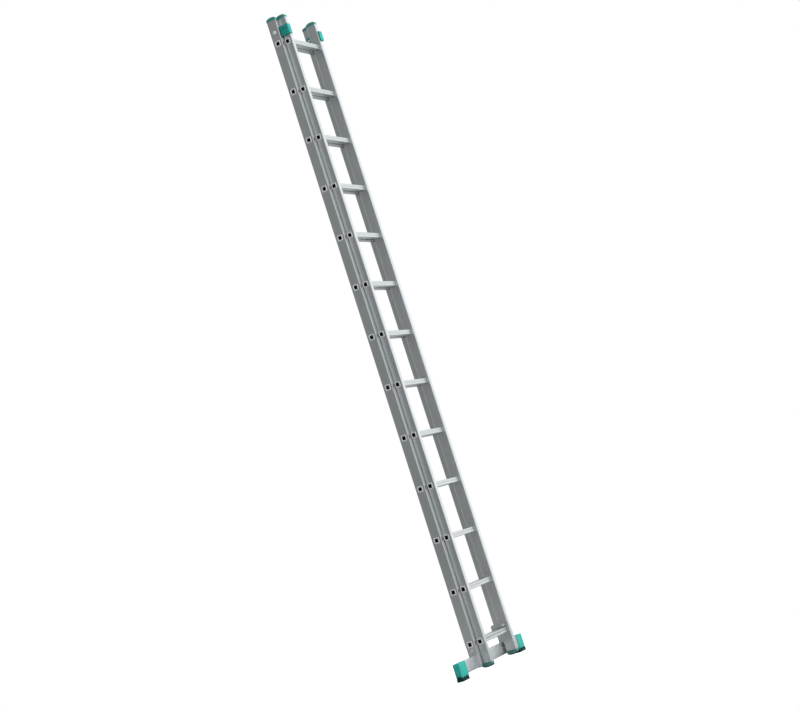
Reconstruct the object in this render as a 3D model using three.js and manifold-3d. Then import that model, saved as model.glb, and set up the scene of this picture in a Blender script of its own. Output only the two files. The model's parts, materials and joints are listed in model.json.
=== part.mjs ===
// A two-section aluminium extension ladder, closed, standing upright on its stabilizer bar.
// Millimetres, +Z up the ladder, +X across it, +Y from the climber's side to the wall side.
// The origin is on the floor, in the middle of the ladder's width and depth.

import * as THREE from 'three';
import { mergeVertices } from 'three/addons/utils/BufferGeometryUtils.js';
import Module from 'manifold-3d';

const wasm = await Module();
wasm.setup();

// ---------------------------------------------------------------- driving dimensions

const GAP = 0.3;                  // between pieces that touch
const RUNG_COUNT = 13;            // in each section
const RUNG_PITCH = 280;
const RUNG_SIZE = 28;             // square tube, across the flats
const RUNG_BORE = 20;
const RUNG_CORNER = 3;
const RUNG_GROOVE_WIDTH = 3;
const RUNG_GROOVE_DEPTH = 1;
const RIM_SIZE = 33;              // the flared rung end outside the stile
const RIM_THICKNESS = 2;
const RIM_CORNER = 6;

const STILE_WIDTH = 25;
const STILE_DEPTH = 58;
const STILE_WALL = 1.8;
const STILE_CORNER = 3.5;
const STILE_ABOVE_TOP_RUNG = 133;
const FLY_BELOW_FIRST_RUNG = 112;
const BASE_BELOW_FIRST_RUNG = 125;

const FLY_INNER_HALF = 140;       // half the clear width between the fly's stiles
const STILE_SIDE_GAP = 5;         // from the fly's stile to the base's stile beside it
const SECTION_OFFSET = 45;        // from the fly's rung plane back to the base's rung plane

const FIRST_RUNG_HEIGHT = 152;    // above the floor
const BAR_HALF_LENGTH = 380;
const BAR_DEPTH = 34;
const BAR_HEIGHT = 64;
const BAR_WALL = 2;
const BAR_TOP = -60;              // heights in the ladder group count from the first rung
const BAR_CORNER = 3;
const BAR_CAP_LENGTH = 75;
const BAR_CAP_WALL = 2.5;
const BAR_CAP_END = 5;
const BAR_CAP_BOTTOM = -133;
const TREAD_GROOVE = [4, 3];      // width and depth of the grooves under the soles
const TREAD_PLACES = [0.3, 0.5, 0.7];
const BAR_BOLT_RADIUS = 4;
const BAR_BOLT_HEAD_RADIUS = 7;
const ANCHOR_FRONT_WALL = 6;
const ANCHOR_RIVET_DEPTH = 14;
const RIVET_HEIGHT = -33;
const RIVET_RADIUS = 2.5;
const RIVET_HEAD = [5.5, 2.2];

const CAP_CROWN = 19;
const CAP_EDGE = 9;
const PLUG_LENGTH = 26;
const FOOT_EDGE = 11;
const FOOT_CROWN = 9.7;
const FOOT_PROUD = 1.5;
const SOLE_THICKNESS = 3.6;       // below the foot's arch, with the gap

const GUIDE_BOTTOM = 34;          // heights of the guide count from the top rung
const GUIDE_TOP = 88;
const GUIDE_BOLT_HEIGHT = 64;
const GUIDE_WALL = 14;
const GUIDE_FRONT_CLEARANCE = 1.2;
const GUIDE_SIDE_CLEARANCE = 2.8; // beside the fly's stile, past the rims of its rungs
const GUIDE_REAR_CLEARANCE = 2.5;
const GUIDE_LIP = 7;
const GUIDE_LIP_REACH = 18;       // over the front of the fly's stile
const GUIDE_CORNER = 4;
const GUIDE_RIB = 3;
const GUIDE_RIB_HEIGHT = 12;
const GUIDE_RIB_COUNT = 2;
const GUIDE_BOSS = 12;
const GUIDE_BOSS_REACH = 15;      // behind the bolt
const GUIDE_BOLT_RADIUS = 4;
const GUIDE_BOLT_HEAD = [10, 4];  // radius and height
const GUIDE_NUT = [7, 3];         // on the inner end of the bolt

const HOOK_THICKNESS = 5;
const HOOK_RADIUS = 12.3;
const HOOK_PIVOT_HEIGHT = 27;
const HOOK_SEAT_GAP = 0.4;
const HOOK_CLAW_BOTTOM = -6;
const HOOK_CLAW_DEPTH = 14;
const HOOK_CLAW_GAP = 1;          // behind the rung
const HOOK_CORNER = 9;
const HOOK_SIDE_GAP = 0.6;
const PIN_RADIUS = 4;
const PIN_RUNNING_GAP = 0.05;
const PIN_HEAD = [7, 2];
const PIN_TAIL = [6, 2];

const ROUND_SEGMENTS = 16;        // of a bolt, pin or hole
const CURVE_SEGMENTS = 2;         // of each rounded corner

// ---------------------------------------------------------------- worked-out places

const flyOuter = FLY_INNER_HALF + STILE_WIDTH;
const baseInner = flyOuter + STILE_SIDE_GAP;
const baseOuter = baseInner + STILE_WIDTH;
const topRung = (RUNG_COUNT - 1) * RUNG_PITCH;
const stileTop = topRung + STILE_ABOVE_TOP_RUNG;
const flyFront = -STILE_DEPTH / 2;
const flyRear = STILE_DEPTH / 2;
const baseFront = SECTION_OFFSET - STILE_DEPTH / 2;
const baseRear = SECTION_OFFSET + STILE_DEPTH / 2;
const barFront = baseRear - BAR_DEPTH;
const barBottom = BAR_TOP - BAR_HEIGHT;
const barMiddle = BAR_TOP - BAR_HEIGHT / 2;
const guideFront = flyFront - GUIDE_FRONT_CLEARANCE - GUIDE_LIP;
const capRear = baseRear + BAR_CAP_WALL;
const depthCentre = (guideFront + capRear) / 2;

// ---------------------------------------------------------------- materials

const metal = (color, roughness) => new THREE.MeshStandardMaterial({ color, roughness, metalness: 1 });
const plastic = (color, roughness) => new THREE.MeshStandardMaterial({ color, roughness, metalness: 0 });
const stileAluminium = metal(0xa7acae, 0.38);
const rungAluminium = metal(0xc4c9ca, 0.34);
const barAluminium = metal(0xb4b9ba, 0.4);
const plainSteel = metal(0xd0d3d4, 0.25);
const tealPlastic = plastic(0x22a090, 0.45);
const darkTealPlastic = plastic(0x0e7f78, 0.5);
const soleRubber = plastic(0x0a2a28, 0.85);

// ---------------------------------------------------------------- solids

function solidOf(geometry) {
  const bare = geometry.index ? geometry : geometry.clone();
  bare.deleteAttribute('normal');
  bare.deleteAttribute('uv');
  const merged = mergeVertices(bare, 1e-4);
  return new wasm.Manifold(new wasm.Mesh({
    numProp: 3,
    vertProperties: new Float32Array(merged.attributes.position.array),
    triVerts: new Uint32Array(merged.index.array),
  }));
}

function block([x0, x1], [y0, y1], [z0, z1]) {
  const box = new THREE.BoxGeometry(Math.abs(x1 - x0), Math.abs(y1 - y0), Math.abs(z1 - z0));
  box.translate((x0 + x1) / 2, (y0 + y1) / 2, (z0 + z1) / 2);
  return solidOf(box);
}

// An outline drawn in the plane across an axis, and pulled along that axis.
// Across X the outline is (y, z), across Y it is (x, z) and across Z it is (x, y).
function pulled(outline, axis, [a, b]) {
  const low = Math.min(a, b);
  const high = Math.max(a, b);
  const settings = { depth: high - low, bevelEnabled: false, curveSegments: CURVE_SEGMENTS };
  const geometry = new THREE.ExtrudeGeometry(outline, settings);
  const turns = {
    x: [new THREE.Vector3(0, 1, 0), new THREE.Vector3(0, 0, 1), new THREE.Vector3(1, 0, 0)],
    y: [new THREE.Vector3(1, 0, 0), new THREE.Vector3(0, 0, 1), new THREE.Vector3(0, -1, 0)],
    z: [new THREE.Vector3(1, 0, 0), new THREE.Vector3(0, 1, 0), new THREE.Vector3(0, 0, 1)],
  };
  geometry.applyMatrix4(new THREE.Matrix4().makeBasis(...turns[axis]));
  const start = { x: [low, 0, 0], y: [0, high, 0], z: [0, 0, low] };
  geometry.translate(...start[axis]);
  return solidOf(geometry);
}

function roundedBox(width, height, corner, centre = [0, 0]) {
  const [cx, cy] = centre;
  const w = width / 2;
  const h = height / 2;
  const shape = new THREE.Shape();
  shape.moveTo(cx - w + corner, cy - h);
  shape.lineTo(cx + w - corner, cy - h);
  shape.absarc(cx + w - corner, cy - h + corner, corner, -Math.PI / 2, 0);
  shape.lineTo(cx + w, cy + h - corner);
  shape.absarc(cx + w - corner, cy + h - corner, corner, 0, Math.PI / 2);
  shape.lineTo(cx - w + corner, cy + h);
  shape.absarc(cx - w + corner, cy + h - corner, corner, Math.PI / 2, Math.PI);
  shape.lineTo(cx - w, cy - h + corner);
  shape.absarc(cx - w + corner, cy - h + corner, corner, Math.PI, Math.PI * 1.5);
  return shape;
}

function polygon(points) {
  return new THREE.Shape(points.map(([a, b]) => new THREE.Vector2(a, b)));
}

// A square with its corners cut off.
function cutCornerBox(size, corner) {
  const half = size / 2;
  const flat = half - corner;
  return polygon([[half, -flat], [half, flat], [flat, half], [-flat, half],
    [-half, flat], [-half, -flat], [-flat, -half], [flat, -half]]);
}

function disc(radius, centre) {
  const points = [];
  for (let i = 0; i < ROUND_SEGMENTS; i += 1) {
    const angle = (i * 2 * Math.PI) / ROUND_SEGMENTS;
    points.push([centre[0] + radius * Math.cos(angle), centre[1] + radius * Math.sin(angle)]);
  }
  return polygon(points);
}

const rod = (radius, axis, centre, span) => pulled(disc(radius, centre), axis, span);
const clearHole = (radius) => (radius + GAP) / Math.cos(Math.PI / ROUND_SEGMENTS);

// A low dome whose base lies across X at x = start, rising by height towards direction.
function dome([radius, height], start, direction, y, z) {
  const rings = 4;
  const edge = height / 5;
  const profile = [new THREE.Vector2(0, 0), new THREE.Vector2(radius, 0)];
  for (let i = 0; i <= rings; i += 1) {
    const angle = (i * Math.PI) / 2 / rings;
    profile.push(new THREE.Vector2(radius * Math.cos(angle), edge + (height - edge) * Math.sin(angle)));
  }
  profile[profile.length - 1].x = 0;
  const geometry = new THREE.LatheGeometry(profile, ROUND_SEGMENTS);
  geometry.rotateZ(direction > 0 ? -Math.PI / 2 : Math.PI / 2);
  geometry.translate(start, y, z);
  return solidOf(geometry);
}

const ladder = new THREE.Group();
ladder.position.set(0, -depthCentre, FIRST_RUNG_HEIGHT);

function place(name, solid, material) {
  const { numProp, vertProperties, triVerts } = solid.getMesh();
  const positions = new Float32Array((vertProperties.length / numProp) * 3);
  for (let i = 0; i < positions.length / 3; i += 1) {
    for (let k = 0; k < 3; k += 1) positions[i * 3 + k] = vertProperties[i * numProp + k];
  }
  const geometry = new THREE.BufferGeometry();
  geometry.setAttribute('position', new THREE.BufferAttribute(positions, 3));
  geometry.setIndex(new THREE.BufferAttribute(new Uint32Array(triVerts), 1));
  geometry.computeVertexNormals();
  const mesh = new THREE.Mesh(geometry, material);
  mesh.name = name;
  ladder.add(mesh);
}

// ---------------------------------------------------------------- rungs

// A square tube with a groove along the middle of each face.
function rungOutline() {
  const half = RUNG_SIZE / 2;
  const flat = half - RUNG_CORNER;
  const groove = RUNG_GROOVE_WIDTH / 2;
  const floor = half - RUNG_GROOVE_DEPTH;
  const side = [[half, -flat], [half, -groove], [floor, -groove], [floor, groove],
    [half, groove], [half, flat]];
  const points = [];
  for (let quarter = 0; quarter < 4; quarter += 1) {
    const cos = [1, 0, -1, 0][quarter];
    const sin = [0, 1, 0, -1][quarter];
    for (const [a, b] of side) points.push([a * cos - b * sin, a * sin + b * cos]);
  }
  return polygon(points);
}

function rungSolid(outerFace, y, z) {
  const end = outerFace + GAP + RIM_THICKNESS;
  const rimFace = outerFace + GAP;
  const insideRim = rimFace + RIM_THICKNESS / 2;
  let rung = pulled(rungOutline(), 'x', [-insideRim, insideRim]);
  for (const side of [-1, 1]) {
    rung = rung.add(pulled(cutCornerBox(RIM_SIZE, RIM_CORNER), 'x', [side * rimFace, side * end]));
  }
  const bore = block([-end - 1, end + 1], [-RUNG_BORE / 2, RUNG_BORE / 2], [-RUNG_BORE / 2, RUNG_BORE / 2]);
  return rung.subtract(bore).translate([0, y, z]);
}

function addRungs(section, outerFace, y) {
  for (let i = 0; i < RUNG_COUNT; i += 1) {
    const name = `${section}_rung_${String(i + 1).padStart(2, '0')}`;
    place(name, rungSolid(outerFace, y, i * RUNG_PITCH), rungAluminium);
  }
}

// ---------------------------------------------------------------- stiles

function stileSolid(centreX, y, bottom) {
  const outline = roundedBox(STILE_WIDTH, STILE_DEPTH, STILE_CORNER, [centreX, y]);
  const wall = 2 * STILE_WALL;
  const innerCorner = STILE_CORNER - STILE_WALL;
  outline.holes.push(roundedBox(STILE_WIDTH - wall, STILE_DEPTH - wall, innerCorner, [centreX, y]));
  let stile = pulled(outline, 'z', [bottom, stileTop]);
  const opening = RUNG_SIZE + 2 * GAP;
  const across = [centreX - STILE_WIDTH, centreX + STILE_WIDTH];
  const through = [y - opening / 2, y + opening / 2];
  for (let i = 0; i < RUNG_COUNT; i += 1) {
    const z = i * RUNG_PITCH;
    stile = stile.subtract(block(across, through, [z - opening / 2, z + opening / 2]));
  }
  return stile;
}

// ---------------------------------------------------------------- end caps and feet

// Half an ellipse along the depth, on a straight edge: flat where it meets the stile.
function archedOutline(centreY, depth, face, edge, crown, direction) {
  const shape = new THREE.Shape();
  const steps = 10;
  shape.moveTo(centreY - depth / 2, face);
  for (let i = 0; i <= steps; i += 1) {
    const t = i / steps;
    const rise = edge + crown * Math.sin(Math.PI * t);
    shape.lineTo(centreY - (depth / 2) * Math.cos(Math.PI * t), face + direction * rise);
  }
  shape.lineTo(centreY + depth / 2, face);
  return shape;
}

function plugSolid(centreX, y, from, to) {
  const clear = 2 * (STILE_WALL + GAP);
  const corner = STILE_CORNER - STILE_WALL;
  const outline = roundedBox(STILE_WIDTH - clear, STILE_DEPTH - clear, corner, [centreX, y]);
  return pulled(outline, 'z', [from, to]);
}

function topCapSolid(centreX, y) {
  const half = STILE_WIDTH / 2;
  const face = stileTop + GAP;
  const crown = archedOutline(y, STILE_DEPTH, face, CAP_EDGE, CAP_CROWN - CAP_EDGE, 1);
  const cap = pulled(crown, 'x', [centreX - half, centreX + half]);
  return cap.add(plugSolid(centreX, y, stileTop - PLUG_LENGTH, face + 1));
}

function addFlyFoot(side, sideName) {
  const centreX = side * (FLY_INNER_HALF + STILE_WIDTH / 2);
  const half = STILE_WIDTH / 2 + FOOT_PROUD;
  const face = -FLY_BELOW_FIRST_RUNG - GAP;
  const front = flyFront - FOOT_PROUD;
  const across = [centreX - half, centreX + half];
  const depth = flyRear - front;
  const middle = front + depth / 2;
  const body = pulled(archedOutline(middle, depth, face, FOOT_EDGE, FOOT_CROWN, -1), 'x', across);
  const plug = plugSolid(centreX, 0, face - 1, -FLY_BELOW_FIRST_RUNG + PLUG_LENGTH);
  place(`fly_foot_${sideName}`, body.add(plug), tealPlastic);

  // The sole is a curved sheet of even depth under the arch. The shape it clears is 1 mm deeper
  // than the foot, so that the sheet keeps a blunt edge in front and behind.
  const outside = archedOutline(middle, depth, face, FOOT_EDGE + SOLE_THICKNESS, FOOT_CROWN, -1);
  const inside = archedOutline(middle, depth + 1, face + 1, FOOT_EDGE + 1 + GAP, FOOT_CROWN, -1);
  const sheet = pulled(outside, 'x', across).subtract(pulled(inside, 'x', [across[0] - 1, across[1] + 1]));
  place(`fly_foot_sole_${sideName}`, sheet, soleRubber);
}

// ---------------------------------------------------------------- stabilizer

// The bar lies in a notch in the rear of each base stile, flush with the stile's rear face.
function stabilizerBar() {
  const centre = [barFront + BAR_DEPTH / 2, barMiddle];
  const outline = roundedBox(BAR_DEPTH, BAR_HEIGHT, BAR_CORNER, centre);
  const wall = 2 * BAR_WALL;
  outline.holes.push(roundedBox(BAR_DEPTH - wall, BAR_HEIGHT - wall, BAR_CORNER - BAR_WALL, centre));
  const end = BAR_HALF_LENGTH - BAR_CAP_END;
  let bar = pulled(outline, 'x', [-end, end]);
  for (const side of [-1, 1]) {
    const hole = rod(clearHole(BAR_BOLT_RADIUS), 'y', [side * (baseInner + STILE_WIDTH / 2), barMiddle],
      [barFront - 1, baseRear + 1]);
    bar = bar.subtract(hole);
  }
  return bar;
}

function addBarEnd(side, sideName) {
  const outer = BAR_HALF_LENGTH + 5;
  const inner = outer - BAR_CAP_LENGTH;
  const front = barFront - BAR_CAP_WALL;
  const top = BAR_TOP + BAR_CAP_WALL;
  const shell = pulled(roundedBox(capRear - front, top - BAR_CAP_BOTTOM, BAR_CORNER,
    [(front + capRear) / 2, (top + BAR_CAP_BOTTOM) / 2]), 'x', [side * inner, side * outer]);
  const pocket = block([side * (inner - 1), side * (BAR_HALF_LENGTH - BAR_CAP_END + GAP)],
    [barFront - GAP, baseRear + GAP], [barBottom - GAP, BAR_TOP + GAP]);
  place(`stabilizer_cap_${sideName}`, shell.subtract(pocket), tealPlastic);

  const soleTop = BAR_CAP_BOTTOM - GAP;
  let sole = pulled(roundedBox(Math.abs(outer - inner), capRear - front, BAR_CORNER,
    [side * (inner + outer) / 2, (front + capRear) / 2]), 'z', [-FIRST_RUNG_HEIGHT, soleTop]);
  const [grooveWidth, grooveDepth] = TREAD_GROOVE;
  for (const fraction of TREAD_PLACES) {
    const x = side * (inner + BAR_CAP_LENGTH * fraction);
    sole = sole.subtract(block([x - grooveWidth / 2, x + grooveWidth / 2], [front - 1, capRear + 1],
      [-FIRST_RUNG_HEIGHT - 1, -FIRST_RUNG_HEIGHT + grooveDepth]));
  }
  place(`stabilizer_sole_${sideName}`, sole, soleRubber);
}

// The block inside each base stile's foot that the bar is bolted to, held by a rivet.
function addBarAnchor(side, sideName) {
  const stileCentre = side * (baseInner + STILE_WIDTH / 2);
  const half = STILE_WIDTH / 2 - STILE_WALL - GAP;
  const front = baseFront + STILE_WALL + GAP;
  const rear = baseRear - STILE_WALL - GAP;
  const top = -RUNG_SIZE / 2 - 5;
  const shelf = BAR_TOP + 2 * GAP;
  const outline = polygon([[front, -BASE_BELOW_FIRST_RUNG + 5], [barFront - GAP, -BASE_BELOW_FIRST_RUNG + 5],
    [barFront - GAP, shelf], [rear, shelf], [rear, top], [front, top]]);
  const boltEnd = front + ANCHOR_FRONT_WALL;
  const boltCentre = [stileCentre, barMiddle];
  const boltHole = rod(clearHole(BAR_BOLT_RADIUS), 'y', boltCentre, [boltEnd, barFront + 1]);
  const outerFace = stileCentre + side * half;
  const rivetHole = rod(clearHole(RIVET_RADIUS), 'x', [SECTION_OFFSET, RIVET_HEIGHT],
    [outerFace + side, outerFace - side * (ANCHOR_RIVET_DEPTH + GAP)]);
  const sideView = pulled(outline, 'x', [stileCentre - half, stileCentre + half]);
  const anchor = sideView.intersect(plugSolid(stileCentre, SECTION_OFFSET, -BASE_BELOW_FIRST_RUNG, top + 1));
  place(`bar_anchor_${sideName}`, anchor.subtract(boltHole).subtract(rivetHole), barAluminium);

  const faceOut = side * (baseOuter + GAP);
  const rivetShank = rod(RIVET_RADIUS, 'x', [SECTION_OFFSET, RIVET_HEIGHT],
    [faceOut + side * GAP, outerFace - side * ANCHOR_RIVET_DEPTH]);
  place(`anchor_rivet_${sideName}`,
    rivetShank.add(dome(RIVET_HEAD, faceOut, side, SECTION_OFFSET, RIVET_HEIGHT)), plainSteel);

  const boltFace = baseRear + GAP;
  const boltHead = rod(BAR_BOLT_HEAD_RADIUS, 'y', boltCentre, [boltFace, capRear]);
  const boltShank = rod(BAR_BOLT_RADIUS, 'y', boltCentre, [boltEnd + 1, boltFace + 1]);
  place(`stabilizer_bolt_${sideName}`, boltHead.add(boltShank), plainSteel);
}

// ---------------------------------------------------------------- guides and hooks

// The guide is bolted to the base stile's inner face and reaches round the fly's stile.
function addGuide(side, sideName) {
  const bottom = topRung + GUIDE_BOTTOM;
  const top = topRung + GUIDE_TOP;
  const boltHeight = topRung + GUIDE_BOLT_HEIGHT;
  const runFace = flyOuter + GUIDE_SIDE_CLEARANCE;
  const webOut = baseInner - GAP;
  const wallOut = flyOuter + GUIDE_WALL;
  const behindFly = flyRear + GUIDE_REAR_CLEARANCE;
  const bossRear = SECTION_OFFSET + GUIDE_BOSS_REACH;
  const lipRear = flyFront - GUIDE_FRONT_CLEARANCE;
  const outline = polygon([
    [flyOuter - GUIDE_LIP_REACH, guideFront], [wallOut - GUIDE_CORNER, guideFront],
    [wallOut, guideFront + GUIDE_CORNER],
    [wallOut, baseFront - GAP], [webOut, baseFront - GAP], [webOut, bossRear],
    [webOut - GUIDE_BOSS, bossRear], [webOut - GUIDE_BOSS, behindFly], [runFace, behindFly],
    [runFace, lipRear], [flyOuter - GUIDE_LIP_REACH, lipRear],
  ].map(([x, y]) => [side * x, y]));
  let guide = pulled(outline, 'z', [bottom, top]);
  const ribPitch = (top - bottom) / GUIDE_RIB_COUNT;
  for (let rib = 0; rib < GUIDE_RIB_COUNT; rib += 1) {
    const middle = bottom + ribPitch * (rib + 0.5);
    guide = guide.add(block([side * (wallOut - 1), side * (wallOut + GUIDE_RIB)],
      [guideFront + 2 * GUIDE_CORNER, baseFront - GUIDE_CORNER],
      [middle - GUIDE_RIB_HEIGHT / 2, middle + GUIDE_RIB_HEIGHT / 2]));
  }
  const centre = [SECTION_OFFSET, boltHeight];
  const bossFace = webOut - GUIDE_BOSS;
  const boltHole = rod(clearHole(GUIDE_BOLT_RADIUS), 'x', centre,
    [side * (bossFace - 1), side * (webOut + 1)]);
  place(`guide_bracket_${sideName}`, guide.subtract(boltHole), darkTealPlastic);

  const faceOut = side * (baseOuter + GAP);
  const nutFace = bossFace - GAP;
  const [nutRadius, nutHeight] = GUIDE_NUT;
  const shank = rod(GUIDE_BOLT_RADIUS, 'x', centre, [faceOut + side * GAP, side * (nutFace - 1)]);
  const head = dome(GUIDE_BOLT_HEAD, faceOut, side, SECTION_OFFSET, boltHeight);
  const nut = rod(nutRadius, 'x', centre, [side * nutFace, side * (nutFace - nutHeight)]);
  place(`guide_bolt_${sideName}`, shank.add(head).add(nut), plainSteel);
}

// A flat hook that pivots on the fly's stile and drops over a rung of the base.
function addHook(side, sideName) {
  const outerX = FLY_INNER_HALF - HOOK_SIDE_GAP;
  const innerX = outerX - HOOK_THICKNESS;
  const seat = RUNG_SIZE / 2 + HOOK_SEAT_GAP;
  const rungRear = SECTION_OFFSET + RUNG_SIZE / 2;
  const clawFront = rungRear + HOOK_CLAW_GAP;
  const clawRear = clawFront + HOOK_CLAW_DEPTH;
  const top = HOOK_PIVOT_HEIGHT + HOOK_RADIUS;
  const shape = new THREE.Shape();
  shape.moveTo(0, HOOK_PIVOT_HEIGHT - HOOK_RADIUS);
  shape.lineTo(clawFront - 3, seat);
  shape.lineTo(clawFront, seat - 3);
  shape.lineTo(clawFront + 1, HOOK_CLAW_BOTTOM);
  shape.lineTo(clawRear - 3, HOOK_CLAW_BOTTOM);
  shape.lineTo(clawRear, HOOK_CLAW_BOTTOM + 6);
  shape.lineTo(clawRear, top - HOOK_CORNER);
  shape.absarc(clawRear - HOOK_CORNER, top - HOOK_CORNER, HOOK_CORNER, 0, Math.PI / 2);
  shape.lineTo(0, top);
  const steps = 12;
  for (let i = 1; i < steps; i += 1) {
    const angle = Math.PI / 2 + (i * Math.PI) / steps;
    shape.lineTo(HOOK_RADIUS * Math.cos(angle), HOOK_PIVOT_HEIGHT + HOOK_RADIUS * Math.sin(angle));
  }
  const bore = (PIN_RADIUS + PIN_RUNNING_GAP) / Math.cos(Math.PI / ROUND_SEGMENTS);
  const hole = rod(bore, 'x', [0, HOOK_PIVOT_HEIGHT], [side * (innerX - 1), side * (outerX + 1)]);
  const hook = pulled(shape, 'x', [side * innerX, side * outerX]).subtract(hole);
  place(`rung_hook_${sideName}`, hook, barAluminium);

  const centre = [0, HOOK_PIVOT_HEIGHT];
  const tailFace = FLY_INNER_HALF + STILE_WALL + GAP;
  const shank = rod(PIN_RADIUS, 'x', centre, [side * (innerX - GAP - 1), side * (tailFace + 1)]);
  const headFace = innerX - GAP;
  const head = rod(PIN_HEAD[0], 'x', centre, [side * (headFace - PIN_HEAD[1]), side * headFace]);
  const tail = rod(PIN_TAIL[0], 'x', centre, [side * tailFace, side * (tailFace + PIN_TAIL[1])]);
  place(`hook_pin_${sideName}`, shank.add(head).add(tail), plainSteel);
}

// ---------------------------------------------------------------- assembly

for (const [side, sideName] of [[-1, 'left'], [1, 'right']]) {
  const baseCentre = side * (baseInner + STILE_WIDTH / 2);
  const flyCentre = side * (FLY_INNER_HALF + STILE_WIDTH / 2);
  const faceOut = side * (baseOuter + 1);

  const notch = block([side * (baseInner - 1), faceOut], [barFront - GAP, baseRear + 1],
    [-BASE_BELOW_FIRST_RUNG - 1, BAR_TOP + GAP]);
  const guideHole = rod(clearHole(GUIDE_BOLT_RADIUS), 'x', [SECTION_OFFSET, topRung + GUIDE_BOLT_HEIGHT],
    [side * (baseInner - 1), faceOut]);
  const rivetHole = rod(clearHole(RIVET_RADIUS), 'x', [SECTION_OFFSET, RIVET_HEIGHT], [baseCentre, faceOut]);
  const plainBaseStile = stileSolid(baseCentre, SECTION_OFFSET, -BASE_BELOW_FIRST_RUNG);
  const baseStile = plainBaseStile.subtract(notch).subtract(guideHole).subtract(rivetHole);
  place(`base_stile_${sideName}`, baseStile, stileAluminium);
  place(`base_top_cap_${sideName}`, topCapSolid(baseCentre, SECTION_OFFSET), darkTealPlastic);

  const pinHole = rod(clearHole(PIN_RADIUS), 'x', [0, HOOK_PIVOT_HEIGHT],
    [side * (FLY_INNER_HALF - 1), flyCentre]);
  const flyStile = stileSolid(flyCentre, 0, -FLY_BELOW_FIRST_RUNG).subtract(pinHole);
  place(`fly_stile_${sideName}`, flyStile, stileAluminium);
  place(`fly_top_cap_${sideName}`, topCapSolid(flyCentre, 0), darkTealPlastic);

  addFlyFoot(side, sideName);
  addBarEnd(side, sideName);
  addBarAnchor(side, sideName);
  addGuide(side, sideName);
  addHook(side, sideName);
}
addRungs('base', baseOuter, SECTION_OFFSET);
addRungs('fly', flyOuter, 0);
place('stabilizer_bar', stabilizerBar(), barAluminium);

export default ladder;
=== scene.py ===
# %% [markdown]
# An extension ladder, built around a fixed frame of plain solids.
# The frame gives every size and place. This notebook makes the visible pieces: the drawn
# aluminium stiles and rungs, the moulded caps and guides, the rubber soles and the fasteners.
# Everything is in metres, with +Z up the ladder and -Y the side that a person climbs.

# %% Load the frame
import json
import math

import bpy
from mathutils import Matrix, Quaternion, Vector


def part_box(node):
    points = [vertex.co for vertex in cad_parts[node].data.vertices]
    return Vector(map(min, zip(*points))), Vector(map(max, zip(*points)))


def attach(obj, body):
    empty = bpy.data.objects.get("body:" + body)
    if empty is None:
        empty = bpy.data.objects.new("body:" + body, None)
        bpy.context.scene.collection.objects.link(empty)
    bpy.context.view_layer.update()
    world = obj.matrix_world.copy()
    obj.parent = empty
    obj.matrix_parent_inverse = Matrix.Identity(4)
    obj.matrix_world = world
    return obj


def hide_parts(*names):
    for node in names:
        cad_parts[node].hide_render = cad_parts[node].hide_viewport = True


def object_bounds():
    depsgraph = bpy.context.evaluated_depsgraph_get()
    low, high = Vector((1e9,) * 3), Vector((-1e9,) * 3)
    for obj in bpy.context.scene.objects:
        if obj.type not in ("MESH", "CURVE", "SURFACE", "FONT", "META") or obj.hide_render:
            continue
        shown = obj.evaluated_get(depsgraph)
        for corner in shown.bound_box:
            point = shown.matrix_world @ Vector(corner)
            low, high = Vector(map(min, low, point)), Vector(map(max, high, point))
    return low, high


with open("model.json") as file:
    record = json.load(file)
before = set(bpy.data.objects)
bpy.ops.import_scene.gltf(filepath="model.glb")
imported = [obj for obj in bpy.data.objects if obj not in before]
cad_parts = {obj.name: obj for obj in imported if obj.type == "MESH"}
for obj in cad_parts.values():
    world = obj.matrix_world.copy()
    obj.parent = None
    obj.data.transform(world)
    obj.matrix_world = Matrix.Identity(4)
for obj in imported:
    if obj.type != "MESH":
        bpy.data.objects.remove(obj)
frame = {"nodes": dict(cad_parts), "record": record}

cad_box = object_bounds()
MM = 0.001
record = frame["record"]
BODY_OF = {node: body for body, nodes in record["behaviour"]["bodies"].items() for node in nodes}
SLOT_OF = {row["node"]: row["material_slot"] for row in record["subparts"]}
SIDES = {"left": -1, "right": 1}
print("frame loaded:", len(BODY_OF), "nodes,", round(cad_box[1].z, 3), "m tall")

# %% [markdown]
# The camera comes first, because every later choice is judged through it. The ladder is tall
# and thin, so it is seen from far off through a long lens, which keeps its sides nearly
# parallel. The camera is rolled about its own line of sight, so the upright ladder leans.

# %% Camera
CAMERA_AZIMUTH = math.radians(-61.8)
CAMERA_ELEVATION = math.radians(-6.6)
CAMERA_ROLL = math.radians(-17.8)
CAMERA_DISTANCE = 8.45
LENS = 70.75
AIM = Vector((-0.0018, -0.0001, cad_box[1].z * 0.468))

across = math.cos(CAMERA_ELEVATION)
towards_camera = Vector((math.sin(CAMERA_AZIMUTH) * across,
                         -math.cos(CAMERA_AZIMUTH) * across,
                         math.sin(CAMERA_ELEVATION)))
bpy.ops.object.camera_add(location=AIM + towards_camera * CAMERA_DISTANCE)
camera = bpy.context.object
camera.name = "view_camera"
camera.rotation_mode = "QUATERNION"
level_look = (-towards_camera).to_track_quat("-Z", "Y")
camera.rotation_quaternion = level_look @ Quaternion((0, 0, 1), CAMERA_ROLL)
camera.data.lens = LENS
camera.data.sensor_width = 36
camera.data.clip_end = 60
bpy.context.scene.camera = camera
print("camera at", [round(c, 3) for c in camera.location])

# %% [markdown]
# Bare aluminium looks like whatever it reflects. So the studio is a bright sky with one dim
# patch in it, like a black card beside the camera. The flat outer sides of the stiles mirror that
# patch and go mid-grey, while faces and rounded edges that look elsewhere shine. A brighter patch
# opposite, like a white card, lights up the narrow front faces. Well below the horizon the sky
# dims, as a studio floor does. What the camera sees behind the ladder is white.

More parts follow.
